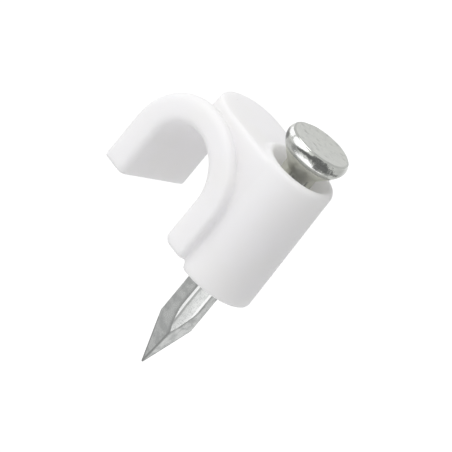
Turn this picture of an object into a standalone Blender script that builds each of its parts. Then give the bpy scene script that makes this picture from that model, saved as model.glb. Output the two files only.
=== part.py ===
"""Nail-in cable clip: a moulded plastic hook for one round cable, and the steel nail that fixes it.

Frame: Z is the nail's axis and points away from the wall, X runs from the hook to the boss, Y runs along
the cable. The origin lies on the wall plane, on the nail's axis. All lengths are in metres.
"""

import math

import bmesh
import bpy

# Hook over the cable; its crown lies a little nearer to the arm than the middle of the slot
SLOT_WIDTH = 0.00478
SLOT_HEIGHT = 0.00605
SLOT_TO_NAIL = 0.00233
CROWN_OFFSET = 0.00025
ARM_THICKNESS = 0.00176
CROWN_THICKNESS = 0.00173
LEG_THICKNESS = 0.00176
HOOK_WIDTH = 0.0063
HOOK_EDGE_ROUND = 0.00047
LEG_EDGE_ROUND = 0.00015
HOOK_END_ROUND = 0.00015
RIM_WIDTH = 0.0006
RIM_RISE = 0.0004
RIM_SLOPE = 0.0001
ARM_TIP_HEIGHT = 0.0008
FOOT_HEIGHT = 0.00045
FOOT_CORNER_RADIUS = 0.00045
FOOT_CHAMFER = 0.00025
FOOT_SET_BACK = 0.00002

# Barrel round the nail, and the boss with round ends that ties it to the hook; both walls have draft
BARREL_FOOT_RADIUS = 0.0026
BARREL_TOP_RADIUS = 0.00235
BARREL_FOOT_ROUND = 0.00012
BARREL_RIM_ROUND = 0.00035
BARREL_RISE = 0.00025
BOSS_LENGTH = 0.00445
BOSS_HEIGHT = 0.00815
BOSS_TOP_ROUND = 0.00025
BOSS_SET_BACK = 0.00003

# Nail seat in the boss
SEAT_RADIUS = 0.00202
SEAT_DEPTH = 0.0009
NAIL_CLEARANCE = 0.0001

# Nail
NAIL_LENGTH = 0.01688
NAIL_STAND_OUT = 0.00213
SHANK_SIDE = 0.00153
SHANK_TURN = math.radians(-48.7)
FLUTE_RADIUS = 0.00085
FLUTE_AXIS_OFFSET = 0.00125
FLUTE_TURN = math.radians(10.0)
FLUTE_RUN_OUT = 0.0018
FLUTE_PAST_SHOULDER = 0.0004
POINT_LENGTH = 0.0032
POINT_TIP_RADIUS = 0.00003
HEAD_RADIUS = 0.00205
HEAD_RIM_THICKNESS = 0.0006
HEAD_RIM_ROUND = 0.00025
HEAD_TOP_DISH = 0.00004
HEAD_CONE_HEIGHT = 0.00115

# Fineness of the curved faces
ARCH_STEPS = 14
ROUND_STEPS = 4
TURN_STEPS = 56
FLUTE_STEPS = 32
RUN_OUT_STEPS = 6
OVERRUN = 0.001

# Places worked out from the sizes above
CROWN_X = -(SLOT_TO_NAIL + SLOT_WIDTH / 2 + CROWN_OFFSET)
ARM_SIDE_RADIUS = SLOT_WIDTH / 2 - CROWN_OFFSET
LEG_SIDE_RADIUS = SLOT_WIDTH / 2 + CROWN_OFFSET
HOOK_HEIGHT = SLOT_HEIGHT + CROWN_THICKNESS
LEG_OUTER_X = CROWN_X + LEG_SIDE_RADIUS + LEG_THICKNESS
SHANK_CORNER_RADIUS = SHANK_SIDE / math.sqrt(2)
BORE_RADIUS = SHANK_CORNER_RADIUS + NAIL_CLEARANCE
BARREL_HEIGHT = BOSS_HEIGHT + BARREL_RISE
HEAD_TOP_HEIGHT = BOSS_HEIGHT + NAIL_STAND_OUT
NAIL_TIP_HEIGHT = HEAD_TOP_HEIGHT - NAIL_LENGTH
POINT_BASE_HEIGHT = NAIL_TIP_HEIGHT + POINT_LENGTH

WHITE_PLASTIC = ("white_plastic", (0.86, 0.86, 0.87, 1.0), 0.42, 0.0)
ZINC_STEEL = ("zinc_steel", (0.62, 0.63, 0.64, 1.0), 0.3, 1.0)


def clear_scene():
    """Remove every object that the file opened with."""
    for old in list(bpy.data.objects):
        bpy.data.objects.remove(old, do_unlink=True)


def make_material(name, colour, roughness, metallic):
    """Return a Principled material."""
    material = bpy.data.materials.new(name)
    material.use_nodes = True
    shader = material.node_tree.nodes["Principled BSDF"]
    shader.inputs["Base Color"].default_value = colour
    shader.inputs["Roughness"].default_value = roughness
    shader.inputs["Metallic"].default_value = metallic
    return material


def object_from_bmesh(name, bm):
    """Turn a bmesh into a scene object with its faces pointing out."""
    bmesh.ops.recalc_face_normals(bm, faces=bm.faces)
    mesh = bpy.data.meshes.new(name)
    bm.to_mesh(mesh)
    bm.free()
    result = bpy.data.objects.new(name, mesh)
    bpy.context.scene.collection.objects.link(result)
    return result


def arc(centre_a, centre_b, radius, start, end, steps):
    """Return the points of an arc, both ends included, in the plane of the two given coordinates."""
    points = []
    for step in range(steps + 1):
        angle = start + (end - start) * step / steps
        points.append((centre_a + radius * math.cos(angle), centre_b + radius * math.sin(angle)))
    return points


def prism_along_y(name, outline, half_width):
    """Extrude an outline of (x, z) points along Y, to half_width on both sides."""
    bm = bmesh.new()
    front = [bm.verts.new((x, -half_width, z)) for x, z in outline]
    back = [bm.verts.new((x, half_width, z)) for x, z in outline]
    bm.faces.new(front)
    bm.faces.new(back)
    for index in range(len(outline)):
        following = (index + 1) % len(outline)
        bm.faces.new((front[index], front[following], back[following], back[index]))
    return object_from_bmesh(name, bm)


def loft(name, rings):
    """Bridge equal rings of points, first to last, and close both ends."""
    bm = bmesh.new()
    loops = [[bm.verts.new(point) for point in ring] for ring in rings]
    count = len(rings[0])
    for lower, upper in zip(loops, loops[1:]):
        for index in range(count):
            following = (index + 1) % count
            bm.faces.new((lower[index], lower[following], upper[following], upper[index]))
    bm.faces.new(loops[0])
    bm.faces.new(loops[-1])
    return object_from_bmesh(name, bm)


def turned(name, profile):
    """Turn a profile of (radius, height) points about the nail's axis."""
    angles = [2 * math.pi * step / TURN_STEPS for step in range(TURN_STEPS)]
    rings = []
    for radius, height in profile:
        rings.append([(radius * math.cos(a), radius * math.sin(a), height) for a in angles])
    return loft(name, rings)


def hide_tool(tool):
    """Mark an object as a shape that only cuts or joins."""
    tool.hide_render = True
    tool.display_type = "WIRE"


def combine(target, tool, operation):
    """Join a tool to the target, or cut it out, and hide the tool."""
    modifier = target.modifiers.new(operation.lower() + "_" + tool.name, "BOOLEAN")
    modifier.operation = operation
    modifier.solver = "EXACT"
    modifier.object = tool
    hide_tool(tool)


def leg_back(crown_inset, foot_inset):
    """Return the leg's outer face from the crown to the foot, as the inset fades from one to the other."""
    radius = LEG_SIDE_RADIUS + LEG_THICKNESS
    points = []
    for step in range(1, ARCH_STEPS + 1):
        share = step / ARCH_STEPS
        angle = math.pi / 2 * (1 - share)
        reach = radius - crown_inset - (foot_inset - crown_inset) * share
        points.append((CROWN_X + reach * math.cos(angle), HOOK_HEIGHT - radius + reach * math.sin(angle)))
    return points


def hook_outline(outer_inset, inner_inset, end_inset):
    """Return the hook's side view (arm, crown, leg, foot), with its faces set back by the insets."""
    arm_radius = ARM_SIDE_RADIUS + ARM_THICKNESS - outer_inset
    crown = HOOK_HEIGHT - outer_inset
    tip = ARM_TIP_HEIGHT + end_inset
    foot = FOOT_HEIGHT + end_inset
    leg_inset = outer_inset * LEG_EDGE_ROUND / HOOK_EDGE_ROUND
    outline = [(CROWN_X - arm_radius, tip)]
    outline += arc(CROWN_X, crown - arm_radius, arm_radius, math.pi, math.pi / 2, ARCH_STEPS)
    outline += leg_back(outer_inset, leg_inset)
    outline += [(LEG_OUTER_X - leg_inset, foot)]

    leg_inner = CROWN_X + LEG_SIDE_RADIUS + inner_inset
    corner = FOOT_CORNER_RADIUS
    outline += arc(leg_inner + corner, foot + corner, corner, -math.pi / 2, -math.pi, ROUND_STEPS)
    outline += reversed(slot_arch(inner_inset))
    outline += [(CROWN_X - ARM_SIDE_RADIUS - inner_inset, tip)]
    return outline


def make_hook():
    """Loft the hook along the cable: rounded edges, and a raised rim at each side of a lower strap."""
    half = HOOK_WIDTH / 2
    sections = []
    for step in range(ROUND_STEPS + 1):
        angle = math.pi / 2 * step / ROUND_STEPS
        lag = 1 - math.sin(angle)
        inset = HOOK_EDGE_ROUND * lag
        sections.append((half - HOOK_EDGE_ROUND * (1 - math.cos(angle)), inset, inset, HOOK_END_ROUND * lag))
    sections.append((half - RIM_WIDTH, 0.0, 0.0, 0.0))
    sections.append((half - RIM_WIDTH - RIM_SLOPE, RIM_RISE, 0.0, 0.0))
    rings = []
    for y, outer, inner, end in sections:
        rings.append([(x, -y, z) for x, z in hook_outline(outer, inner, end)])
    for y, outer, inner, end in reversed(sections):
        rings.append([(x, y, z) for x, z in hook_outline(outer, inner, end)])
    return loft("clip_body", rings)


def slot_arch(inset):
    """Return the arch of the slot from the arm to the leg, set back into the wall by the inset."""
    arm_radius = ARM_SIDE_RADIUS + inset
    leg_radius = LEG_SIDE_RADIUS + inset
    crown = SLOT_HEIGHT + inset
    arch = arc(CROWN_X, crown - arm_radius, arm_radius, math.pi, math.pi / 2, ARCH_STEPS)
    return arch + arc(CROWN_X, crown - leg_radius, leg_radius, math.pi / 2, 0.0, ARCH_STEPS)[1:]


def obround_ring(radius, height):
    """Return a level ring with round ends, one about the nail and one over the hook."""
    right = arc(0.0, 0.0, radius, -math.pi / 2, math.pi / 2, 2 * ARCH_STEPS)
    left = arc(-BOSS_LENGTH, 0.0, radius, math.pi / 2, 3 * math.pi / 2, 2 * ARCH_STEPS)
    return [(x, y, height) for x, y in right + left]


def barrel_radius_at(height):
    """Return the radius of the barrel's drafted wall at a height."""
    share = height / BARREL_HEIGHT
    return BARREL_FOOT_RADIUS + (BARREL_TOP_RADIUS - BARREL_FOOT_RADIUS) * share


def make_boss():
    """Loft the boss, with a rounded top edge, join the barrel, and clear the slot and the foot from both."""
    foot_radius = barrel_radius_at(0.0) - BOSS_SET_BACK
    top_centre = barrel_radius_at(BOSS_HEIGHT - BOSS_TOP_ROUND) - BOSS_SET_BACK - BOSS_TOP_ROUND
    rings = [obround_ring(foot_radius, BARREL_FOOT_ROUND)]
    edge_height = BOSS_HEIGHT - BOSS_TOP_ROUND
    for radius, height in arc(top_centre, edge_height, BOSS_TOP_ROUND, 0.0, math.pi / 2, ROUND_STEPS):
        rings.append(obround_ring(radius, height))
    boss = loft("boss", rings)
    combine(boss, make_barrel(), "UNION")

    # The cut runs inside the hook's wall, so that the hook alone forms the faces round the cable. It lies
    # a little above the foot, and its chamfer meets the wall plane a little below, so that no faces coincide.
    depth = ARM_THICKNESS / 3
    foot = FOOT_HEIGHT + FOOT_SET_BACK
    left = CROWN_X - ARM_SIDE_RADIUS - ARM_THICKNESS
    outline = [(CROWN_X - ARM_SIDE_RADIUS - depth, foot)]
    outline += slot_arch(depth)
    outline += [(CROWN_X + LEG_SIDE_RADIUS + depth, foot), (LEG_OUTER_X, foot)]
    outline += [(LEG_OUTER_X + FOOT_CHAMFER, -FOOT_SET_BACK), (LEG_OUTER_X + FOOT_CHAMFER, -OVERRUN)]
    outline += [(left, -OVERRUN), (left, foot)]
    combine(boss, prism_along_y("slot_clearance", outline, HOOK_WIDTH), "DIFFERENCE")
    return boss


def make_barrel():
    """Turn the drafted barrel, with a small round at its foot and a larger one at its rim."""
    foot_centre = barrel_radius_at(BARREL_FOOT_ROUND) - BARREL_FOOT_ROUND
    rim_centre = barrel_radius_at(BARREL_HEIGHT - BARREL_RIM_ROUND) - BARREL_RIM_ROUND
    rim_height = BARREL_HEIGHT - BARREL_RIM_ROUND
    profile = arc(foot_centre, BARREL_FOOT_ROUND, BARREL_FOOT_ROUND, -math.pi / 2, 0.0, ROUND_STEPS)
    profile += arc(rim_centre, rim_height, BARREL_RIM_ROUND, 0.0, math.pi / 2, ROUND_STEPS)
    return turned("barrel", profile)


def make_seat_cutter():
    """Turn the cutter for the conical nail seat and the bore below it."""
    seat_floor = BARREL_HEIGHT - SEAT_DEPTH
    slope = (SEAT_RADIUS - BORE_RADIUS) / SEAT_DEPTH
    profile = [
        (BORE_RADIUS, -OVERRUN),
        (BORE_RADIUS, seat_floor),
        (SEAT_RADIUS + slope * OVERRUN, BARREL_HEIGHT + OVERRUN),
    ]
    return turned("seat_and_bore", profile)


def make_clip_body(material):
    """Build the one-piece moulding: hook, boss, barrel and nail seat."""
    body = make_hook()
    combine(body, make_boss(), "UNION")
    combine(body, make_seat_cutter(), "DIFFERENCE")
    body.data.materials.append(material)
    return body


def shank_ring(half_diagonal, height):
    """Return the four corners of the square shank at a height."""
    ring = []
    for corner in range(4):
        angle = SHANK_TURN + corner * math.pi / 2
        ring.append((half_diagonal * math.cos(angle), half_diagonal * math.sin(angle), height))
    return ring


def make_flute_cutter(name, turn):
    """Loft a long round cutter beside the shank; its lower end curves out, so that the flute runs out."""
    end_height = POINT_BASE_HEIGHT - FLUTE_PAST_SHOULDER
    end_distance = SHANK_CORNER_RADIUS * (1 - FLUTE_PAST_SHOULDER / POINT_LENGTH) + FLUTE_RADIUS
    levels = [(HEAD_TOP_HEIGHT - HEAD_RIM_THICKNESS - HEAD_CONE_HEIGHT / 2, 0.0)]
    for step in range(RUN_OUT_STEPS + 1):
        share = step / RUN_OUT_STEPS
        levels.append((end_height + FLUTE_RUN_OUT * (1 - share), share * share))
    rings = []
    for height, curve in levels:
        distance = FLUTE_AXIS_OFFSET + (end_distance - FLUTE_AXIS_OFFSET) * curve
        direction = SHANK_TURN + turn + FLUTE_TURN * (1 - curve)
        x = distance * math.cos(direction)
        y = distance * math.sin(direction)
        circle = arc(x, y, FLUTE_RADIUS, 0.0, 2 * math.pi, FLUTE_STEPS)[:-1]
        rings.append([(a, b, height) for a, b in circle])
    return loft(name, rings)


def make_nail(material):
    """Build the nail: square fluted shank with a four-sided point, and a turned head with a conical neck."""
    rim_base = HEAD_TOP_HEIGHT - HEAD_RIM_THICKNESS
    neck_base = rim_base - HEAD_CONE_HEIGHT
    nail = loft("nail", [
        shank_ring(POINT_TIP_RADIUS, NAIL_TIP_HEIGHT),
        shank_ring(SHANK_CORNER_RADIUS, POINT_BASE_HEIGHT),
        shank_ring(SHANK_CORNER_RADIUS, rim_base),
    ])
    combine(nail, make_flute_cutter("flute_front", 0.0), "DIFFERENCE")
    combine(nail, make_flute_cutter("flute_back", math.pi), "DIFFERENCE")

    rim_centre = HEAD_RADIUS - HEAD_RIM_ROUND
    rim_top = HEAD_TOP_HEIGHT - HEAD_RIM_ROUND
    profile = [(SHANK_SIDE / 2, neck_base), (HEAD_RADIUS - HEAD_RIM_ROUND / 2, rim_base)]
    profile += arc(rim_centre, rim_base + HEAD_RIM_ROUND, HEAD_RIM_ROUND, -math.pi / 6, 0.0, ROUND_STEPS)
    profile += arc(rim_centre, rim_top, HEAD_RIM_ROUND, 0.0, math.pi / 2, ROUND_STEPS)
    profile += [(HEAD_RADIUS / 4, HEAD_TOP_HEIGHT - HEAD_TOP_DISH)]
    combine(nail, turned("head", profile), "UNION")
    nail.data.materials.append(material)
    return nail


def shade_round(piece):
    """Shade the round faces smooth and keep the sharp edges."""
    piece.data.shade_smooth()
    piece.data.set_sharp_from_angle(angle=math.radians(35.0))


def main():
    """Build the clip body and its nail."""
    clear_scene()
    body = make_clip_body(make_material(*WHITE_PLASTIC))
    nail = make_nail(make_material(*ZINC_STEEL))
    for piece in (body, nail):
        shade_round(piece)


main()
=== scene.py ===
"""The looks of a nail-in cable clip: a white moulding and its zinc-plated nail in a pale studio.

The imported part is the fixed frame, and both of its nodes are replaced here by finer meshes. The moulding
keeps its form under a softened skin. The nail gets a fuller neck and a bulging side to its head.
Z is the nail's axis and points away from the wall, X runs from the hook to the boss, Y along the cable.
"""

import logging
import math
from collections.abc import Sequence
from dataclasses import dataclass, field
from enum import Enum

import bmesh
import bpy
import numpy as np
from mathutils import Matrix, Vector


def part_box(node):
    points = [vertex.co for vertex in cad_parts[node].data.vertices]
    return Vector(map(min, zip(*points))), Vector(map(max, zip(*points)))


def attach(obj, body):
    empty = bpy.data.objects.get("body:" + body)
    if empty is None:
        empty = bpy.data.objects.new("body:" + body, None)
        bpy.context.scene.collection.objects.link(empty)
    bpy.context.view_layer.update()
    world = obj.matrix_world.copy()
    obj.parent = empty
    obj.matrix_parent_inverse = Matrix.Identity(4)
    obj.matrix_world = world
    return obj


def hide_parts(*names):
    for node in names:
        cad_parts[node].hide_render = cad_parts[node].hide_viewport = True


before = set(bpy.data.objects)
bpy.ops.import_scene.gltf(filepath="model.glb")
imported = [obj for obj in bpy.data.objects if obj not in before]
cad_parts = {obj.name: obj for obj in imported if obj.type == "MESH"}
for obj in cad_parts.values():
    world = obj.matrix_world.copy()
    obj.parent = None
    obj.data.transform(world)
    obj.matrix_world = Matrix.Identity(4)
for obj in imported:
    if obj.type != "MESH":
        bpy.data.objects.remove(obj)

LOG = logging.getLogger("clip")
MM = 0.001
PHOTO_SIDE = 452
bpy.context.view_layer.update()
BLACK = (0.0, 0.0, 0.0, 1.0)
WHITE = (1.0, 1.0, 1.0, 1.0)

Point = tuple[float, float, float]
FlatPoint = tuple[float, float]
Span = tuple[float, float]
Colour = tuple[float, float, float, float]


class Join(Enum):
    """What a Boolean does with its tool."""

    UNION = "UNION"
    CUT = "DIFFERENCE"


class Ray(Enum):
    """The rays that see the studio as plain white."""

    CAMERA = "Is Camera Ray"
    GLOSSY = "Is Glossy Ray"
    TRANSMISSION = "Is Transmission Ray"


class Mask(Enum):
    """What the nail's mesh tells its finish, from 0 to 1 at each point: where the flutes are frosted and
    where light, shade and reflections are painted.
    """

    FLOOR = "flute_floor"
    LIP = "flute_lip"
    SHADOW = "shadow"
    BRIGHT = "side_bright"
    DARK = "side_dark"


class Value:
    """A number on a node's socket that takes part in Python expressions."""

    def __init__(self, graph: "Graph", socket: bpy.types.NodeSocket) -> None:
        """Wrap a socket of a graph."""
        self.graph = graph
        self.socket = socket

    def _math(self, operation: str, first: "Value | float", second: "Value | float") -> "Value":
        """Return a Math node's result on two operands."""
        return self.graph.add("ShaderNodeMath", {"operation": operation}, {0: first, 1: second})

    def __add__(self, other: "Value | float") -> "Value":
        """Return self + other."""
        return self._math("ADD", self, other)

    def __radd__(self, other: float) -> "Value":
        """Return other + self."""
        return self._math("ADD", other, self)

    def __sub__(self, other: "Value | float") -> "Value":
        """Return self - other."""
        return self._math("SUBTRACT", self, other)

    def __rsub__(self, other: float) -> "Value":
        """Return other - self."""
        return self._math("SUBTRACT", other, self)

    def __mul__(self, other: "Value | float") -> "Value":
        """Return self * other."""
        return self._math("MULTIPLY", self, other)

    def __rmul__(self, other: float) -> "Value":
        """Return other * self."""
        return self._math("MULTIPLY", other, self)

    def __lt__(self, other: "Value | float") -> "Value":
        """Return 1 where self is below other."""
        return self._math("LESS_THAN", self, other)

    def __gt__(self, other: "Value | float") -> "Value":
        """Return 1 where self is above other."""
        return self._math("GREATER_THAN", self, other)

    def __or__(self, other: "Value | float") -> "Value":
        """Return the larger of the two."""
        return self._math("MAXIMUM", self, other)

    def between(self, low: float, high: float) -> "Value":
        """Return a smooth step of self.

        Args:
            low: The value where the step starts, at 0.
            high: The value where it ends, at 1.

        Returns:
            The step, from 0 to 1.
        """
        settings = {"interpolation_type": "SMOOTHSTEP"}
        return self.graph.add("ShaderNodeMapRange", settings, {"Value": self, 1: low, 2: high})


Link = Value | float | Sequence[float]


class Graph:
    """The node tree of a material or of the world."""

    def __init__(self, tree: bpy.types.NodeTree) -> None:
        """Take over a tree and empty it."""
        self.tree = tree
        tree.nodes.clear()

    def node(self, kind: str, settings: dict[str, object], inputs: dict[int | str, Link]) -> bpy.types.Node:
        """Add a node.

        Args:
            kind: The node's type.
            settings: Its properties, which are set first.
            inputs: The values or links of its sockets, by name or number.

        Returns:
            The node.
        """
        node = self.tree.nodes.new(kind)
        for name, setting in settings.items():
            setattr(node, name, setting)
        for key, given in inputs.items():
            if isinstance(given, Value):
                self.tree.links.new(given.socket, node.inputs[key])
            else:
                node.inputs[key].default_value = given
        return node

    def add(
        self,
        kind: str,
        settings: dict[str, object],
        inputs: dict[int | str, Link],
        output: int | str = 0,
    ) -> Value:
        """Add a node and return one of its outputs.

        Args:
            kind: The node's type.
            settings: Its properties.
            inputs: The values or links of its sockets.
            output: The name or number of the output.

        Returns:
            The output, ready for expressions.
        """
        return Value(self, self.node(kind, settings, inputs).outputs[output])

    def place(self, stretch: Point = (1.0, 1.0, 1.0)) -> Value:
        """Return the object's own coordinates, stretched along the axes."""
        raw = self.add("ShaderNodeTexCoord", {}, {}, "Object")
        return self.add("ShaderNodeVectorMath", {"operation": "MULTIPLY"}, {0: raw, 1: stretch})

    def mask(self, mask: Mask) -> Value:
        """Return a mask that the mesh carries at its points."""
        return self.add("ShaderNodeAttribute", {"attribute_name": mask.value}, {}, "Fac")

    def noise(self, coords: Value, size: float, detail: float = 2.0) -> Value:
        """Return noise from 0 to 1 whose patches are about size metres wide."""
        return self.add("ShaderNodeTexNoise", {}, {"Vector": coords, "Scale": 1 / size, "Detail": detail})

    def mix(self, factor: Link, first: Link, second: Link) -> Value:
        """Mix two colours."""
        settings = {"data_type": "RGBA"}
        return self.add("ShaderNodeMix", settings, {"Factor": factor, 6: first, 7: second}, 2)

    def bump(self, height: Value, depth: float, under: Value | None = None) -> Value:
        """Return a normal bumped by a height.

        Args:
            height: The height, about 0 to 1.
            depth: How far the surface would rise from 0 to 1, in metres.
            under: A normal that this one is laid on.

        Returns:
            The bumped normal.
        """
        inputs: dict[int | str, Link] = {"Height": height, "Distance": depth, "Strength": 1.0}
        if under is not None:
            inputs["Normal"] = under
        return self.add("ShaderNodeBump", {}, inputs)

    def seen(self) -> Value:
        """Return 1 for the rays that see the studio as plain white."""
        total: Value | float = 0.0
        for ray in Ray:
            total = self.add("ShaderNodeLightPath", {}, {}, ray.value) | total
        return total


@dataclass(frozen=True)
class MouldedPlastic:
    """White moulded plastic with a satin skin, faint flow marks and a few tiny specks."""

    name: str = "white_plastic"
    colour: Colour = (0.878, 0.87, 0.884, 1.0)
    warm: Colour = (0.87, 0.862, 0.862, 1.0)
    speck: Colour = (0.55, 0.54, 0.52, 1.0)
    roughness: float = 0.58
    roughness_spread: float = 0.08
    roughness_size: float = 0.75 * MM
    ior: float = 1.5
    specular: float = 0.25
    depth_share: float = 0.8
    depth: float = 1.5 * MM
    depth_tint: Point = (1.0, 1.0, 0.97)
    flow_size: float = 3.0 * MM
    flow_edge: Span = (0.35, 0.7)
    skin_size: float = 0.09 * MM
    skin_depth: float = 0.0012 * MM
    dent_size: float = 1.1 * MM
    dent_depth: float = 0.012 * MM
    speck_spacing: float = 1.5 * MM
    speck_share: float = 0.022
    speck_cover: float = 0.5

    def build(self) -> bpy.types.Material:
        """Return the material."""
        material = bpy.data.materials.new(self.name)
        material.use_nodes = True
        graph = Graph(material.node_tree)
        coords = graph.place()
        flow = graph.noise(coords, self.flow_size).between(*self.flow_edge)
        tint = graph.mix(flow, self.colour, self.warm)
        spots = graph.add(
            "ShaderNodeTexVoronoi",
            {"feature": "F1"},
            {"Vector": coords, "Scale": 1 / self.speck_spacing, "Randomness": 1.0},
        )
        tint = graph.mix((spots < self.speck_share) * self.speck_cover, tint, self.speck)
        uneven = graph.noise(coords, self.roughness_size) - 0.5
        skin = graph.noise(coords, self.skin_size)
        dents = graph.bump(graph.noise(coords, self.dent_size, 1.0), self.dent_depth)
        shader = graph.node(
            "ShaderNodeBsdfPrincipled",
            {},
            {
                "Base Color": tint,
                "Roughness": self.roughness + self.roughness_spread * uneven,
                "Normal": graph.bump(skin, self.skin_depth, dents),
                "IOR": self.ior,
                "Specular IOR Level": self.specular,
                "Subsurface Weight": self.depth_share,
                "Subsurface Radius": self.depth_tint,
                "Subsurface Scale": self.depth,
            },
        )
        graph.node("ShaderNodeOutputMaterial", {}, {"Surface": Value(graph, shader.outputs[0])})
        return material


@dataclass(frozen=True)
class ZincPlate:
    """Zinc on drawn steel: grey and mottled, frosted in the flutes and shiny on the head's side, with light
    and shade painted into its colour.

    The painted light is a sheen across each flute, highlights on its lips, shade lines in and beside the
    flutes and along the point's ridges, shade on the head's edge and in its dents, a reflection of the
    plastic seat on the neck, and patches of reflection on the head's side.
    An edge is where a smooth step starts and ends, and a spread is what a pattern adds to the roughness.
    """

    name: str = "zinc_steel"
    colour: Colour = (0.56, 0.57, 0.56, 1.0)
    shade: Colour = (0.37, 0.38, 0.375, 1.0)
    pale: Colour = (0.5, 0.51, 0.485, 1.0)
    # painted reflection of the plastic seat on the nail's neck and cone
    painted_seat_reflection: Colour = (0.72, 0.725, 0.665, 1.0)
    # frost in the flutes, with a painted sheen
    frost_and_sheen: Colour = (0.78, 0.79, 0.78, 1.0)
    # painted highlight on the flutes' lips and painted bright reflection on the head's side
    glint: Colour = (0.97, 0.975, 0.97, 1.0)
    # dark for the painted shade of the shadow mask, and for the head's scratches
    painted_shade_and_scratches: Colour = (0.22, 0.225, 0.22, 1.0)
    # painted dark reflection on the head's side
    painted_dark_reflection: Colour = (0.09, 0.093, 0.09, 1.0)
    seat_height: float = 6.5 * MM
    head_height: float = 9.2 * MM
    mottle_size: float = 0.45 * MM
    mottle_edge: Span = (0.38, 0.66)
    mottle_cover: float = 0.7
    mark_size: float = 0.06 * MM
    mark_stretch: Point = (1.0, 1.0, 0.06)
    mark_cover: float = 0.3
    grain_size: float = 0.05 * MM
    grain_depth: float = 0.002 * MM
    frost_edge: Span = (0.25, 0.6)
    grain_break: float = 0.3
    scratch_size: float = 1.1 * MM
    scratch_half_width: float = 0.025
    scratch_cover: float = 0.16
    ripple_size: float = 0.35 * MM
    ripple_grain: float = 1.2
    bright_edge: Span = (0.3, 0.7)
    dark_edge: Span = (0.32, 0.72)
    dark_cover: float = 1.1
    dark_break: float = 0.35
    pale_break: float = 0.15
    roughness: float = 0.24
    mottle_spread: float = 0.12
    floor_spread: float = 0.08
    seat_spread: float = 0.12
    head_polish: float = 0.1

    def scratches(self, graph: Graph, coords: Value) -> Value:
        """Return thin wandering lines, where a noise passes through its middle."""
        noise = graph.noise(coords, self.scratch_size, 3.0)
        low, middle, high = 0.5 - self.scratch_half_width, 0.5, 0.5 + self.scratch_half_width
        return noise.between(low, middle) * (1 - noise.between(middle, high))

    def build(self) -> bpy.types.Material:
        """Return the material."""
        material = bpy.data.materials.new(self.name)
        material.use_nodes = True
        graph = Graph(material.node_tree)
        coords = graph.place()
        parts = graph.node("ShaderNodeSeparateXYZ", {}, {"Vector": coords})
        height = Value(graph, parts.outputs["Z"])
        above_seat = height > self.seat_height
        head = height > self.head_height
        floor = graph.mask(Mask.FLOOR)

        mottle = graph.noise(coords, self.mottle_size, 4.0).between(*self.mottle_edge)
        marks = graph.noise(graph.place(self.mark_stretch), self.mark_size)
        grain = graph.noise(coords, self.grain_size, 3.0)
        broken = 1 - self.grain_break * grain
        # ragged edges for the painted reflection patches on the head's side
        ripple = graph.noise(coords, self.ripple_size, 1.0) - 0.5 + self.ripple_grain * (grain - 0.5)
        bright = (graph.mask(Mask.BRIGHT) + ripple).between(*self.bright_edge)
        dark = (graph.mask(Mask.DARK) + ripple).between(*self.dark_edge)

        tint = graph.mix(self.mottle_cover * mottle + self.mark_cover * marks, self.colour, self.shade)
        # painted reflection of the plastic seat, from the seat up to the head
        tint = graph.mix(above_seat, tint, self.painted_seat_reflection)
        tint = graph.mix(head * (1 - self.pale_break * mottle), tint, self.pale)
        # frosted grain in the flutes, ramped across each flute as painted light, brighter towards its right
        # wall
        tint = graph.mix(floor * grain.between(*self.frost_edge), tint, self.frost_and_sheen)
        # painted shade: lines in and beside the flutes, along the point's ridges, on the head's edge, in its
        # dents and grey patches on its side
        tint = graph.mix(graph.mask(Mask.SHADOW) * broken, tint, self.painted_shade_and_scratches)
        # painted highlights along the flutes' lips
        tint = graph.mix(graph.mask(Mask.LIP) * broken, tint, self.glint)
        # scratches on the head
        tint = graph.mix(head * self.scratches(graph, coords) * self.scratch_cover, tint, self.painted_shade_and_scratches)
        # painted bright reflection patches on the head's side
        tint = graph.mix(bright, tint, self.glint)
        # painted dark reflection patches on the head's side, broken by grain
        tint = graph.mix(dark * (self.dark_cover - self.dark_break * grain), tint, self.painted_dark_reflection)

        rough = self.roughness + self.mottle_spread * mottle + self.floor_spread * floor
        rough = rough + self.seat_spread * (above_seat - head) - self.head_polish * head
        drawn = graph.bump(marks, self.grain_depth)
        shader = graph.node(
            "ShaderNodeBsdfPrincipled",
            {},
            {
                "Base Color": tint,
                "Metallic": 1.0,
                "Roughness": rough,
                "Normal": graph.bump(grain, self.grain_depth, drawn),
            },
        )
        graph.node("ShaderNodeOutputMaterial", {}, {"Surface": Value(graph, shader.outputs[0])})
        return material


def arc(centre: FlatPoint, radius: float, start: float, end: float, steps: int) -> list[FlatPoint]:
    """Return the points of an arc.

    Args:
        centre: Its centre, in the plane's two coordinates.
        radius: Its radius.
        start: The first point's angle.
        end: The last point's angle.
        steps: The number of chords.

    Returns:
        The points, both ends included.
    """
    angles = [start + (end - start) * step / steps for step in range(steps + 1)]
    return [(centre[0] + radius * math.cos(a), centre[1] + radius * math.sin(a)) for a in angles]


def new_object(name: str, mesh: bpy.types.Mesh) -> bpy.types.Object:
    """Link a new object with a mesh to the scene."""
    made = bpy.data.objects.new(name, mesh)
    bpy.context.scene.collection.objects.link(made)
    return made


def loft(name: str, rings: Sequence[Sequence[Point]]) -> bpy.types.Object:
    """Bridge equal rings of points and close both ends.

    Args:
        name: The object's name.
        rings: The rings, first to last.

    Returns:
        The closed shape.
    """
    bm = bmesh.new()
    loops = [[bm.verts.new(point) for point in ring] for ring in rings]
    count = len(rings[0])
    for lower, upper in zip(loops, loops[1:]):
        for index in range(count):
            following = (index + 1) % count
            bm.faces.new((lower[index], lower[following], upper[following], upper[index]))
    bm.faces.new(loops[0])
    bm.faces.new(loops[-1])
    bmesh.ops.recalc_face_normals(bm, faces=bm.faces)
    mesh = bpy.data.meshes.new(name)
    bm.to_mesh(mesh)
    bm.free()
    return new_object(name, mesh)


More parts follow.
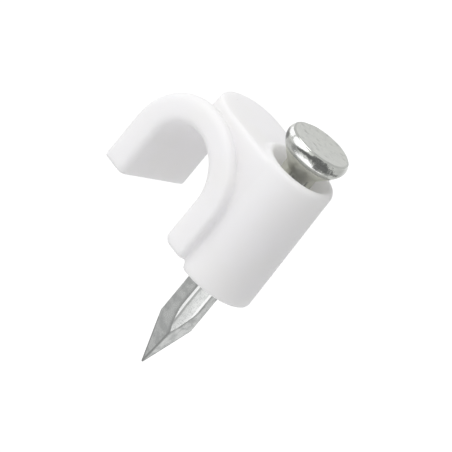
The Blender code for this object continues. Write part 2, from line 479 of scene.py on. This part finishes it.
def combine(target: bpy.types.Object, tool: bpy.types.Object, join: Join) -> None:
    """Join a tool to the target, or cut it out."""
    modifier = target.modifiers.new(tool.name, "BOOLEAN")
    modifier.operation = join.value
    modifier.solver = "EXACT"
    modifier.object = tool


def settle(shape: bpy.types.Object, name: str, tools: Sequence[bpy.types.Object]) -> bpy.types.Object:
    """Apply a shape's modifiers to a new object, and remove the shape and its tools.

    Args:
        shape: The object with its modifiers.
        name: The new object's name.
        tools: The objects that its Booleans used.

    Returns:
        The new object.
    """
    depsgraph = bpy.context.evaluated_depsgraph_get()
    mesh = bpy.data.meshes.new_from_object(shape.evaluated_get(depsgraph))
    mesh.name = name
    for used in (shape, *tools):
        bpy.data.objects.remove(used, do_unlink=True)
    return new_object(name, mesh)


def dress(piece: bpy.types.Object, material: bpy.types.Material, node: str) -> None:
    """Finish a piece and let it stand for a node of the part.

    Args:
        piece: The piece.
        material: Its material.
        node: The node that it replaces.
    """
    piece.data.materials.clear()
    piece.data.materials.append(material)
    piece.data.shade_smooth()
    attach(piece, "root")
    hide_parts(node)
    LOG.info("%s: %d faces, stands for %s", piece.name, len(piece.data.polygons), node)


@dataclass
class ClipBody:
    """The moulding: a hook with raised rims, and a boss with a barrel that holds the nail."""

    slot_width: float = 4.78 * MM
    slot_height: float = 6.05 * MM
    slot_to_nail: float = 2.33 * MM
    crown_offset: float = 0.25 * MM
    arm_thickness: float = 1.76 * MM
    crown_thickness: float = 1.73 * MM
    leg_thickness: float = 1.76 * MM
    edge_round: float = 0.47 * MM
    leg_edge_round: float = 0.15 * MM
    end_round: float = 0.15 * MM
    rim_width: float = 0.6 * MM
    rim_rise: float = 0.4 * MM
    rim_slope: float = 0.1 * MM
    arm_tip_height: float = 0.8 * MM
    foot_height: float = 0.45 * MM
    foot_corner: float = 0.45 * MM
    foot_chamfer: float = 0.25 * MM
    cut_lift: float = 0.02 * MM
    barrel_foot_radius: float = 2.6 * MM
    barrel_top_radius: float = 2.35 * MM
    barrel_foot_round: float = 0.12 * MM
    barrel_rim_round: float = 0.35 * MM
    boss_length: float = 4.45 * MM
    boss_height: float = 8.15 * MM
    boss_top_round: float = 0.25 * MM
    boss_set_back: float = 0.03 * MM
    seat_radius: float = 2.02 * MM
    seat_depth: float = 0.9 * MM
    bore_radius: float = 1.18 * MM
    overrun: float = 1.0 * MM
    arch_steps: int = 48
    round_steps: int = 10
    turn_steps: int = 160
    skin_step: float = 0.072 * MM
    skin_rounds: int = 12
    skin_pull: float = 0.5
    finish: MouldedPlastic = field(default_factory=MouldedPlastic)

    def __post_init__(self) -> None:
        """Work out the places that follow from the sizes and from the frame."""
        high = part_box("clip_body")[1]
        self.half_width = high[1]
        self.barrel_height = high[2]
        self.crown_x = -(self.slot_to_nail + self.slot_width / 2 + self.crown_offset)
        self.arm_radius = self.slot_width / 2 - self.crown_offset
        self.leg_radius = self.slot_width / 2 + self.crown_offset
        self.hook_height = self.slot_height + self.crown_thickness
        self.leg_outer_x = self.crown_x + self.leg_radius + self.leg_thickness

    def arch(self, inset: float) -> list[FlatPoint]:
        """Return the slot's arch, from the arm to the leg, set back into the wall by the inset."""
        crown = self.slot_height + inset
        arm = self.arm_radius + inset
        leg = self.leg_radius + inset
        steps = self.arch_steps
        points = arc((self.crown_x, crown - arm), arm, math.pi, math.pi / 2, steps)
        return points + arc((self.crown_x, crown - leg), leg, math.pi / 2, 0.0, steps)[1:]

    def leg_back(self, crown_inset: float, foot_inset: float) -> list[FlatPoint]:
        """Return the leg's outer face from the crown down, as its inset fades from one to the other."""
        radius = self.leg_radius + self.leg_thickness
        points = []
        for share in np.linspace(0.0, 1.0, self.arch_steps + 1)[1:]:
            angle = math.pi / 2 * (1 - share)
            reach = radius - crown_inset - (foot_inset - crown_inset) * share
            height = self.hook_height - radius + reach * math.sin(angle)
            points.append((self.crown_x + reach * math.cos(angle), height))
        return points

    def outline(self, outer: float, inner: float, end: float) -> list[FlatPoint]:
        """Return the hook's side view.

        Args:
            outer: How far its outer faces are set back.
            inner: The same for the faces of the slot.
            end: The same for the arm's tip and the foot.

        Returns:
            The points (x, z): arm, crown, leg, foot and slot.
        """
        arm = self.arm_radius + self.arm_thickness - outer
        crown = self.hook_height - outer
        tip = self.arm_tip_height + end
        foot = self.foot_height + end
        leg_inset = outer * self.leg_edge_round / self.edge_round
        points = [(self.crown_x - arm, tip)]
        points += arc((self.crown_x, crown - arm), arm, math.pi, math.pi / 2, self.arch_steps)
        points += self.leg_back(outer, leg_inset)
        points += [(self.leg_outer_x - leg_inset, foot)]
        corner = (self.crown_x + self.leg_radius + inner + self.foot_corner, foot + self.foot_corner)
        points += arc(corner, self.foot_corner, -math.pi / 2, -math.pi, self.round_steps)
        points += reversed(self.arch(inner))
        return points + [(self.crown_x - self.arm_radius - inner, tip)]

    def hook(self) -> bpy.types.Object:
        """Loft the hook along the cable, with rounded edges and a raised rim at each side."""
        sections = []
        for step in range(self.round_steps + 1):
            angle = math.pi / 2 * step / self.round_steps
            lag = 1 - math.sin(angle)
            inset = self.edge_round * lag
            y = self.half_width - self.edge_round * (1 - math.cos(angle))
            sections.append((y, inset, inset, self.end_round * lag))
        inner_edge = self.half_width - self.rim_width
        sections.append((inner_edge, 0.0, 0.0, 0.0))
        sections.append((inner_edge - self.rim_slope, self.rim_rise, 0.0, 0.0))
        rings = [[(x, -y, z) for x, z in self.outline(*insets)] for y, *insets in sections]
        rings += [[(x, y, z) for x, z in self.outline(*insets)] for y, *insets in reversed(sections)]
        return loft("hook", rings)

    def wall_radius(self, height: float) -> float:
        """Return the radius of the barrel's drafted wall at a height."""
        share = height / self.barrel_height
        return self.barrel_foot_radius + (self.barrel_top_radius - self.barrel_foot_radius) * share

    def obround(self, radius: float, height: float) -> list[Point]:
        """Return a level ring with round ends, one about the nail and one over the hook."""
        right = arc((0.0, 0.0), radius, -math.pi / 2, math.pi / 2, 2 * self.arch_steps)
        left = arc((-self.boss_length, 0.0), radius, math.pi / 2, 3 * math.pi / 2, 2 * self.arch_steps)
        return [(x, y, height) for x, y in right + left]

    def boss(self) -> bpy.types.Object:
        """Loft the boss, with a rounded top edge."""
        edge = self.boss_height - self.boss_top_round
        centre = self.wall_radius(edge) - self.boss_set_back - self.boss_top_round
        rings = [self.obround(self.barrel_foot_radius - self.boss_set_back, self.barrel_foot_round)]
        for radius, height in arc((centre, edge), self.boss_top_round, 0.0, math.pi / 2, self.round_steps):
            rings.append(self.obround(radius, height))
        return loft("boss", rings)

    def turned(self, name: str, profile: Sequence[FlatPoint]) -> bpy.types.Object:
        """Turn a profile of (radius, height) points about the nail's axis."""
        angles = [2 * math.pi * step / self.turn_steps for step in range(self.turn_steps)]
        return loft(name, [[(r * math.cos(a), r * math.sin(a), z) for a in angles] for r, z in profile])

    def barrel(self) -> bpy.types.Object:
        """Turn the barrel, with a small round at its foot and a larger one at its rim."""
        foot = self.barrel_foot_round
        rim = self.barrel_rim_round
        foot_centre = (self.wall_radius(foot) - foot, foot)
        rim_height = self.barrel_height - rim
        rim_centre = (self.wall_radius(rim_height) - rim, rim_height)
        profile = arc(foot_centre, foot, -math.pi / 2, 0.0, self.round_steps)
        profile += arc(rim_centre, rim, 0.0, math.pi / 2, self.round_steps)
        return self.turned("barrel", profile)

    def slot_clearance(self) -> bpy.types.Object:
        """Return the cutter that clears the slot and the foot from the boss."""
        depth = self.arm_thickness / 3
        foot = self.foot_height + self.cut_lift
        left = self.crown_x - self.arm_radius - self.arm_thickness
        right = self.leg_outer_x + self.foot_chamfer
        outline = [(self.crown_x - self.arm_radius - depth, foot)]
        outline += self.arch(depth)
        outline += [(self.crown_x + self.leg_radius + depth, foot), (self.leg_outer_x, foot)]
        outline += [(right, -self.cut_lift), (right, -self.overrun), (left, -self.overrun), (left, foot)]
        sides = (-2 * self.half_width, 2 * self.half_width)
        return loft("slot_clearance", [[(x, y, z) for x, z in outline] for y in sides])

    def seat_and_bore(self) -> bpy.types.Object:
        """Turn the cutter for the conical nail seat and the bore below it."""
        slope = (self.seat_radius - self.bore_radius) / self.seat_depth
        profile = [
            (self.bore_radius, -self.overrun),
            (self.bore_radius, self.barrel_height - self.seat_depth),
            (self.seat_radius + slope * self.overrun, self.barrel_height + self.overrun),
        ]
        return self.turned("seat_and_bore", profile)

    def build(self) -> bpy.types.Object:
        """Join the forms, even out the skin as moulding does, and dress the piece."""
        boss = self.boss()
        barrel = self.barrel()
        clearance = self.slot_clearance()
        combine(boss, barrel, Join.UNION)
        combine(boss, clearance, Join.CUT)
        body = self.hook()
        seat = self.seat_and_bore()
        combine(body, boss, Join.UNION)
        combine(body, seat, Join.CUT)
        skin = body.modifiers.new("skin", "REMESH")
        skin.mode = "VOXEL"
        skin.voxel_size = self.skin_step
        smooth = body.modifiers.new("smooth", "SMOOTH")
        smooth.factor = self.skin_pull
        smooth.iterations = self.skin_rounds
        piece = settle(body, "moulded_clip", (boss, barrel, clearance, seat))
        dress(piece, self.finish.build(), "clip_body")
        return piece


@dataclass(frozen=True)
class Patch:
    """A patch of painted reflection on the dented side of the head, bright, dark or grey by its mask.

    Its turn is in degrees from the front, and its height is a share of the side's.
    """

    mask: Mask
    turn: float
    height: float
    half_turn: float
    half_height: float
    lean: float = 0.0
    depth: float = 1.0

    def strength(self, turn: np.ndarray, height: float) -> np.ndarray:
        """Return the depth in the patch's middle, half of it on its edge and 0 well outside.

        Args:
            turn: The turns, within 90 degrees of the front or of the back.
            height: The height.

        Returns:
            The strength at each turn.
        """
        across = (turn - self.turn) / self.half_turn
        rise = (height - self.height - self.lean * across) / self.half_height
        return self.depth * np.clip(1 - (across**2 + rise**2) / 2, 0.0, 1.0)


@dataclass(frozen=True)
class Lobe:
    """A wave round the head's side, which twists as it rises, by radians to the metre."""

    count: int
    start: float
    twist: float
    share: float

    def offset(self, turn: np.ndarray, height: float) -> np.ndarray:
        """Return the wave at each turn, at a height."""
        return self.share * np.sin(self.count * turn + self.start + self.twist * height)


@dataclass(frozen=True)
class FluteLight:
    """The painted light and shade in a flute and beside it, with places across it from -1 to 1."""

    floor_middle: float = 0.75
    floor_slope: float = 0.6
    floor_least: float = 0.4
    left_lip: float = -0.37
    right_lip: float = 0.44
    lip_fade: float = 0.04
    line_place: float = -0.29
    line_half_width: float = 0.09
    line_sharpness: float = 1.4
    line_strength: float = 0.7
    beside_width: float = 0.22 * MM
    beside_left: float = 0.8
    beside_right: float = 0.9

    def floor(self, across: np.ndarray) -> np.ndarray:
        """Return how strongly the floor's frost shows at each place across, brighter towards the right wall
        as painted light.
        """
        return np.clip(self.floor_middle + self.floor_slope * across, self.floor_least, 1.0)

    def lip(self, across: np.ndarray) -> np.ndarray:
        """Return how far each place across lies on a lip, where a highlight is painted."""
        left = (self.left_lip - across) / self.lip_fade
        right = (across - self.right_lip) / self.lip_fade
        return np.clip(np.maximum(left, right), 0.0, 1.0)

    def line(self, across: np.ndarray) -> np.ndarray:
        """Return how dark the painted shade line beside the left lip is at each place across."""
        away = np.abs(across - self.line_place) / self.line_half_width
        return self.line_strength * np.clip(self.line_sharpness - away, 0.0, 1.0)

    def beside(self, gap: np.ndarray, is_right: np.ndarray) -> np.ndarray:
        """Return how dark the painted shade on the shank's faces is at a gap from the flute's edge, on its
        left or right.
        """
        near = (gap > 0) * np.clip(1 - gap / self.beside_width, 0.0, 1.0)
        return near * np.where(is_right, self.beside_right, self.beside_left)


@dataclass
class Level:
    """One ring of the nail: its points and the masks that it carries."""

    points: np.ndarray
    masks: dict[Mask, np.ndarray] = field(default_factory=dict)


@dataclass
class Nail:
    """The nail: a square shank with two fluted corners, a four-sided point and a round head."""

    shank_side: float = 1.53 * MM
    shank_turn: float = math.radians(-48.7)
    corner_sharpness: float = 36.0
    flute_radius: float = 0.85 * MM
    flute_axis: float = 1.25 * MM
    flute_turn: float = math.radians(10.0)
    run_out: float = 1.8 * MM
    past_shoulder: float = 0.4 * MM
    lip_round: float = 0.045 * MM
    flute_light: FluteLight = field(default_factory=FluteLight)
    ridge_width: float = 0.06 * MM
    ridge_sharpness: float = 1.5
    point_length: float = 3.2 * MM
    tip_radius: float = 0.05 * MM
    edge_round: float = 0.1 * MM
    side_height: float = 0.75 * MM
    side_bulge: float = 0.12 * MM
    top_dish: float = 0.04 * MM
    neck_drop: float = 2.15 * MM
    neck_fullness: float = 1.15
    # patches of painted reflection on the head's side
    patches: tuple[Patch, ...] = (
        Patch(Mask.DARK, 22.0, 0.6, 23.0, 0.5, -0.1),
        Patch(Mask.DARK, -8.0, 0.68, 22.0, 0.15, 0.12),
        Patch(Mask.SHADOW, -33.0, 0.35, 6.0, 0.45, depth=0.8),
        Patch(Mask.SHADOW, 66.0, 0.4, 20.0, 0.6, depth=0.5),
        Patch(Mask.DARK, -74.0, 0.35, 15.0, 0.45),
        Patch(Mask.BRIGHT, -2.0, 0.16, 25.0, 0.27),
        Patch(Mask.BRIGHT, -32.0, 0.88, 15.0, 0.26),
        Patch(Mask.BRIGHT, -64.0, 0.88, 15.0, 0.22),
        Patch(Mask.BRIGHT, 24.0, 0.0, 11.0, 0.14),
    )
    front_turn: float = math.radians(-58.8)
    lobes: tuple[Lobe, ...] = (
        Lobe(3, 2.0, 0.0, 0.5),
        Lobe(7, 0.0, 0.9 / MM, 0.35),
        Lobe(13, 0.0, -2.6 / MM, 0.2),
    )
    lobe_sink: float = 0.6
    side_wave: float = 0.03 * MM
    edge_shade: float = 0.35
    dent_count: int = 22
    dent_depth: float = 0.015 * MM
    dent_radius: float = 0.13 * MM
    dent_reach: float = 0.85
    dent_shade: float = 0.3
    turn_steps: int = 288
    point_rings: int = 90
    run_out_rings: int = 50
    straight_rings: int = 20
    neck_rings: int = 22
    side_rings: int = 24
    edge_rings: int = 8
    top_rings: int = 50
    top_span: Span = (0.97, 0.02)
    seed: int = 5
    finish: ZincPlate = field(default_factory=ZincPlate)

    def __post_init__(self) -> None:
        """Work out the heights and the head's radius from the frame."""
        low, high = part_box("nail")
        self.head_radius = high[0]
        self.top = high[2]
        self.tip = low[2]
        self.corner_radius = self.shank_side / math.sqrt(2)
        self.point_base = self.tip + self.point_length
        self.side_base = self.top - self.edge_round - self.side_height
        self.neck_base = self.top - self.neck_drop
        self.angles = np.arange(self.turn_steps) * 2 * math.pi / self.turn_steps
        self.random = np.random.default_rng(self.seed)

    def square(self, scale: float) -> np.ndarray:
        """Return the radii of the square section, with its corners a little rounded."""
        turned = self.angles - self.shank_turn - math.pi / 4
        power = self.corner_sharpness
        norm = (np.abs(np.cos(turned)) ** power + np.abs(np.sin(turned)) ** power) ** (1 / power)
        return scale * self.shank_side / 2 / norm

    def flute_place(self, height: float) -> tuple[float, float]:
        """Return how far a flute's axis lies from the nail's, and its turn; both change as it runs out."""
        share = (height - self.point_base + self.past_shoulder) / self.run_out
        share = min(1.0, max(0.0, share))
        curve = 1 - share**2 * (3 - 2 * share)
        last = self.corner_radius * (1 - self.past_shoulder / self.point_length) + self.flute_radius
        return self.flute_axis + (last - self.flute_axis) * curve, self.flute_turn * (1 - curve)

    def level(self, height: float, cover: np.ndarray | float = 0.0) -> Level:
        """Return the shank's ring at a height: the square, hollowed at two opposite corners.

        Args:
            height: The height.
            cover: Radii that the ring must not lie within, where the head's cone swallows the shank.

        Returns:
            The ring and its masks.
        """
        below = max(0.0, self.point_base - height)
        radii = self.square(1 - below / self.point_length * (1 - self.tip_radius / self.corner_radius))
        axis, lean = self.flute_place(height)
        floor, lip, shadow = (np.zeros(self.turn_steps) for _ in range(3))
        for side in (0.0, math.pi):
            turn = self.angles - self.shank_turn - lean - side
            reach = self.flute_radius**2 - (axis * np.sin(turn)) ** 2
            meets = (reach > 0) & (np.cos(turn) > 0)
            wall = axis * np.cos(turn) - np.sqrt(np.where(meets, reach, 0.0))
            wall = np.where(meets, wall, radii + 2 * self.lip_round)
            across = wall * np.sin(turn) / self.flute_radius
            inside = (wall < radii) * 1.0
            gap = np.hypot(radii * np.cos(turn) - axis, radii * np.sin(turn)) - self.flute_radius
            # painted light in the flutes: sheen on the floor, highlights on the lips, a shade line inside
            # and shade on the faces beside
            floor = np.maximum(floor, inside * self.flute_light.floor(across))
            lip = np.maximum(lip, inside * self.flute_light.lip(across))
            shadow = np.maximum(shadow, inside * self.flute_light.line(across))
            shadow = np.maximum(shadow, self.flute_light.beside(gap, np.sin(turn) >= 0))
            blend = np.clip(1 - np.abs(wall - radii) / self.lip_round, 0.0, 1.0)
            radii = np.minimum(wall, radii) - blend**2 * self.lip_round / 4
        ridge = np.abs(np.sin(2 * (self.angles - self.shank_turn))) * radii / 2
        # painted shade line along the point's ridges, below the shoulder
        if height < self.point_base - self.past_shoulder:
            on_ridge = np.clip(self.ridge_sharpness - ridge / self.ridge_width, 0.0, 1.0)
            shadow = np.maximum(shadow, on_ridge)
        bare = radii > cover
        ring = self.ring(np.maximum(radii, cover), height)
        return Level(ring, {Mask.FLOOR: floor * bare, Mask.LIP: lip * bare, Mask.SHADOW: shadow * bare})

    def ring(self, radii: np.ndarray, height: float | np.ndarray) -> np.ndarray:
        """Return a ring of points from its radii and height."""
        x = radii * np.cos(self.angles)
        y = radii * np.sin(self.angles)
        return np.stack([x, y, np.broadcast_to(height, x.shape)], axis=1)

    def shank_levels(self) -> list[Level]:
        """Return the rings from the tip to the underside of the head."""
        run_out_top = self.point_base + self.run_out
        heights = np.concatenate([
            np.linspace(self.tip, self.point_base, self.point_rings, endpoint=False),
            np.linspace(self.point_base, run_out_top, self.run_out_rings, endpoint=False),
            np.linspace(run_out_top, self.neck_base, self.straight_rings, endpoint=False),
        ])
        return [self.level(height) for height in heights]

    def neck_levels(self) -> list[Level]:
        """Return the rings of the cone under the head, which the shank runs into."""
        levels = []
        narrow = self.shank_side / 2
        wide = self.head_radius - self.side_bulge
        for share in np.linspace(0.0, 1.0, self.neck_rings):
            height = self.neck_base + share * (self.side_base - self.neck_base)
            cone = narrow + (wide - narrow) * (1 - (1 - share) ** self.neck_fullness)
            levels.append(self.level(height, cone + self.wave(height)))
        return levels

    def wave(self, height: float) -> np.ndarray:
        """Return how far the head's side stands out of true round its turn, at a height."""
        fade = min(1.0, max(0.0, (height - self.neck_base) / self.side_height))
        lobes = sum(lobe.offset(self.angles, height) for lobe in self.lobes)
        return self.side_wave * fade * (lobes - self.lobe_sink)

    def side_radii(self, share: float) -> np.ndarray:
        """Return the radii of the head's bulging side at a share of its height."""
        wave = self.wave(self.side_base + share * self.side_height)
        return self.head_radius - self.side_bulge * (2 * share - 1) ** 2 + wave

    def side_levels(self) -> list[Level]:
        """Return the rings of the head's side, with its patches of painted reflection."""
        levels = []
        turn = np.degrees(self.angles - self.front_turn + math.pi / 2) % 180.0 - 90.0
        for share in np.linspace(0.0, 1.0, self.side_rings)[1:]:
            masks = {patch.mask: np.zeros(self.turn_steps) for patch in self.patches}
            for patch in self.patches:
                masks[patch.mask] = np.maximum(masks[patch.mask], patch.strength(turn, share))
            height = self.side_base + share * self.side_height
            levels.append(Level(self.ring(self.side_radii(share), height), masks))
        return levels

    def top_levels(self) -> list[Level]:
        """Return the rings of the head's rounded edge and of its dented, slightly hollow top, with painted
        shade on the edge and in the dents.
        """
        levels = []
        rim = self.side_radii(1.0) - self.edge_round
        edge_base = self.top - self.edge_round
        # painted shade along the head's rounded edge
        edge_shadow = np.full(self.turn_steps, self.edge_shade)
        for out, up in arc((0.0, 0.0), self.edge_round, 0.0, math.pi / 2, self.edge_rings)[1:]:
            levels.append(Level(self.ring(rim + out, edge_base + up), {Mask.SHADOW: edge_shadow}))
        reach = self.dent_reach
        dents = self.random.uniform(-reach, reach, (self.dent_count, 2)) * self.head_radius
        for share in np.linspace(*self.top_span, self.top_rings):
            ring = self.ring(rim * share, self.top - self.top_dish * (1 - share**2))
            sunk = np.zeros(self.turn_steps)
            for x, y in dents:
                gap = np.hypot(ring[:, 0] - x, ring[:, 1] - y) / self.dent_radius
                sunk += np.exp(-(gap**2))
            ring[:, 2] -= self.dent_depth * sunk
            # painted shade in the dents
            levels.append(Level(ring, {Mask.SHADOW: self.dent_shade * np.minimum(sunk, 1.0)}))
        return levels

    def build(self) -> bpy.types.Object:
        """Loft the nail from tip to head, store its masks and dress it."""
        levels = self.shank_levels() + self.neck_levels() + self.side_levels() + self.top_levels()
        piece = loft("plated_nail", [[tuple(point) for point in level.points] for level in levels])
        none = np.zeros(self.turn_steps)
        for mask in Mask:
            values = np.concatenate([level.masks.get(mask, none) for level in levels])
            stored = piece.data.attributes.new(mask.value, "FLOAT", "POINT")
            stored.data.foreach_set("value", values)
        dress(piece, self.finish.build(), "nail")
        return piece


@dataclass
class PhotoCamera:
    """A long lens at the photograph's viewing angle, rolled as the photograph is."""

    right: Vector = field(default_factory=lambda: Vector((0.5435, 0.5886, 0.5985)))
    up: Vector = field(default_factory=lambda: Vector((-0.6857, -0.0996, 0.7209)))
    origin_pixel: tuple[float, float] = (212.0, 277.0)
    pixels_per_mm: float = 17.8
    distance: float = 500.0 * MM
    sensor: float = 36.0

    def build(self) -> None:
        """Make the scene's camera."""
        data = bpy.data.cameras.new("photo_camera")
        data.sensor_width = self.sensor
        data.lens = self.pixels_per_mm / PHOTO_SIDE * self.sensor * self.distance / MM
        data.clip_start = self.distance / 100
        camera = new_object("photo_camera", data)
        right = self.right.normalized()
        back = right.cross(self.up).normalized()
        up = back.cross(right)
        step = MM / self.pixels_per_mm
        middle = PHOTO_SIDE / 2
        centre = right * (middle - self.origin_pixel[0]) * step + up * (self.origin_pixel[1] - middle) * step
        turn = Matrix((right, up, back)).transposed().to_4x4()
        camera.matrix_world = Matrix.Translation(centre + back * self.distance) @ turn
        bpy.context.scene.camera = camera


@dataclass(frozen=True)
class Card:
    """A card that only reflections see, hung at a turn and a rise as seen from the clip."""

    name: str
    turn: float
    rise: float
    width: float
    height: float
    brightness: float


@dataclass
class Studio:
    """A white floor well below the clip, a soft key from above, an even fill, and cards for the metal."""

    floor_height: float = -40.0 * MM
    floor_size: float = 4000.0 * MM
    floor_roughness: float = 0.9
    floor_colour: Colour = (0.8, 0.8, 0.8, 1.0)
    floor_lift: float = 0.35
    fill: float = 0.54
    key_strength: float = 1.62
    key_direction: Point = (-0.26, -0.62, 0.74)
    key_softness: float = math.radians(50.0)
    card_distance: float = 40.0 * MM
    cards: tuple[Card, ...] = (
        Card("grey_card", math.radians(-132.0), math.radians(-30.0), 40.0 * MM, 34.0 * MM, 0.78),
        Card("dim_card", math.radians(48.0), math.radians(-12.0), 20.0 * MM, 12.0 * MM, 0.55),
    )

    def sheet(self, name: str, width: float, height: float) -> bpy.types.Object:
        """Add a flat sheet."""
        bm = bmesh.new()
        shape = Matrix.Diagonal((width / 2, height / 2, 1.0, 1.0))
        bmesh.ops.create_grid(bm, x_segments=1, y_segments=1, size=1.0, matrix=shape)
        mesh = bpy.data.meshes.new(name)
        bm.to_mesh(mesh)
        bm.free()
        return new_object(name, mesh)

    def floor(self) -> None:
        """Lay the floor, which looks white but keeps the object's shadow."""
        floor = self.sheet("floor", self.floor_size, self.floor_size)
        floor.location.z = self.floor_height
        material = bpy.data.materials.new("studio_floor")
        material.use_nodes = True
        graph = Graph(material.node_tree)
        shader = graph.node(
            "ShaderNodeBsdfPrincipled",
            {},
            {
                "Base Color": self.floor_colour,
                "Roughness": self.floor_roughness,
                "Specular IOR Level": 0.0,
                "Emission Color": graph.mix(graph.seen(), BLACK, WHITE),
                "Emission Strength": self.floor_lift,
            },
        )
        graph.node("ShaderNodeOutputMaterial", {}, {"Surface": Value(graph, shader.outputs[0])})
        floor.data.materials.append(material)

    def hang(self, card: Card) -> None:
        """Hang a card that gives the metal something to reflect."""
        hung = self.sheet(card.name, card.width, card.height)
        level = math.cos(card.rise)
        away = Vector((level * math.cos(card.turn), level * math.sin(card.turn), math.sin(card.rise)))
        hung.location = away * self.card_distance
        hung.rotation_euler = away.to_track_quat("Z", "Y").to_euler()
        hung.visible_camera = hung.visible_diffuse = hung.visible_shadow = hung.visible_transmission = False
        material = bpy.data.materials.new(card.name)
        material.use_nodes = True
        graph = Graph(material.node_tree)
        grey = (card.brightness, card.brightness, card.brightness, 1.0)
        shader = graph.node(
            "ShaderNodeBsdfPrincipled",
            {},
            {
                "Base Color": BLACK,
                "Roughness": 1.0,
                "Specular IOR Level": 0.0,
                "Emission Color": grey,
                "Emission Strength": 1.0,
            },
        )
        graph.node("ShaderNodeOutputMaterial", {}, {"Surface": Value(graph, shader.outputs[0])})
        hung.data.materials.append(material)

    def world(self) -> None:
        """Fill the studio with even light, white to the camera and in reflections."""
        world = bpy.data.worlds.new("studio")
        world.use_nodes = True
        graph = Graph(world.node_tree)
        grey = (self.fill, self.fill, self.fill, 1.0)
        colour = graph.mix(graph.seen(), grey, WHITE)
        background = graph.add("ShaderNodeBackground", {}, {"Color": colour, "Strength": 1.0})
        graph.node("ShaderNodeOutputWorld", {}, {"Surface": background})
        bpy.context.scene.world = world

    def key(self) -> None:
        """Hang the soft key light."""
        lamp = bpy.data.lights.new("key", "SUN")
        lamp.energy = self.key_strength
        lamp.angle = self.key_softness
        light = new_object("key", lamp)
        light.rotation_euler = Vector(self.key_direction).to_track_quat("Z", "Y").to_euler()

    def build(self) -> None:
        """Set up the floor, the light and the view transform."""
        self.floor()
        for card in self.cards:
            self.hang(card)
        self.world()
        self.key()
        bpy.context.scene.view_settings.view_transform = "Standard"


def main() -> None:
    """Build the clip, its nail and the studio."""
    logging.basicConfig(level=logging.INFO, format="%(name)s: %(message)s")
    for part in (ClipBody(), Nail(), PhotoCamera(), Studio()):
        part.build()


if __name__ == "__main__":
    main()
